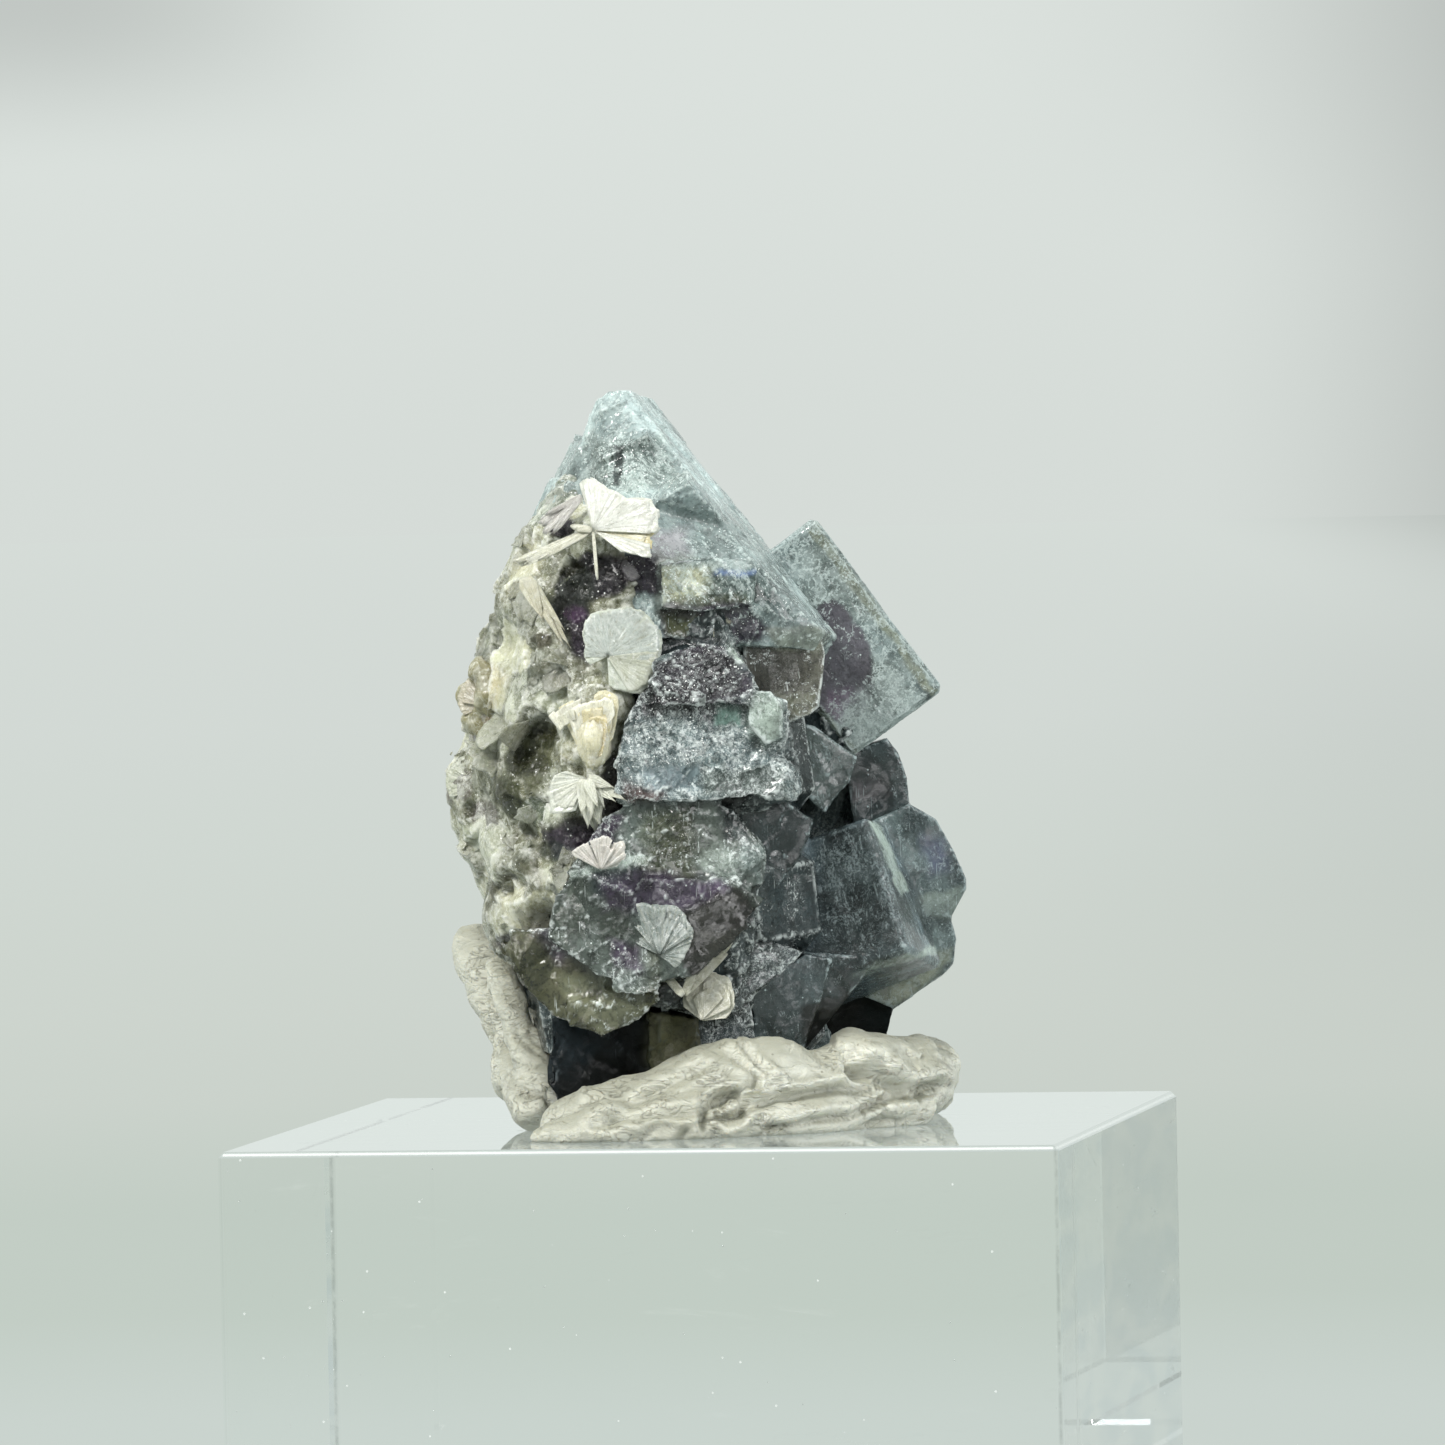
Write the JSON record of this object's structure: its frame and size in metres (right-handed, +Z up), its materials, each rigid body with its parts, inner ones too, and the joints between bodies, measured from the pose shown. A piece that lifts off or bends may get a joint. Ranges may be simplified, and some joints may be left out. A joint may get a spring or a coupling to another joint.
{
  "type": "phantom fluorite specimen",
  "caption": "Intergrown smoky blue-grey fluorite cubes with purple phantoms and a flank of pale mica, set in putty on a clear acrylic block.",
  "frame": {"origin": "middle of the acrylic block's underside, on the surface it stands on", "axes": "+Z up; the block's sides face X and Y, and the specimen shows its mica side and its dark cubes towards -Y"},
  "size_m": [0.05, 0.05, 0.0692],
  "materials": {
    "acrylic": "clear polished acrylic",
    "putty": "matte kneaded putty",
    "fluorite": "glassy to frosted, translucent, purple phantoms inside",
    "mica_crust": "pearly and translucent",
    "mica_rosette": "pearly"
  },
  "bodies": {
    "root": {"acrylic_block": "acrylic", "mounting_putty": "putty", "fluorite_cluster": "fluorite", "mica_crust": "mica_crust", "mica_fan_top": "mica_rosette", "mica_blades_left": "mica_rosette", "mica_blade_lower_left": "mica_rosette", "mica_flake_upper_left": "mica_rosette", "mica_fan_middle": "mica_rosette", "mica_shell_centre": "mica_rosette", "mica_flower_centre": "mica_rosette", "mica_fan_low_centre": "mica_rosette", "mica_fan_grey": "mica_rosette", "mica_shells_left": "mica_rosette", "mica_knobs_left": "mica_rosette", "mica_lump_low": "mica_rosette", "mica_blade_low": "mica_rosette"}
  },
  "joints": []
}
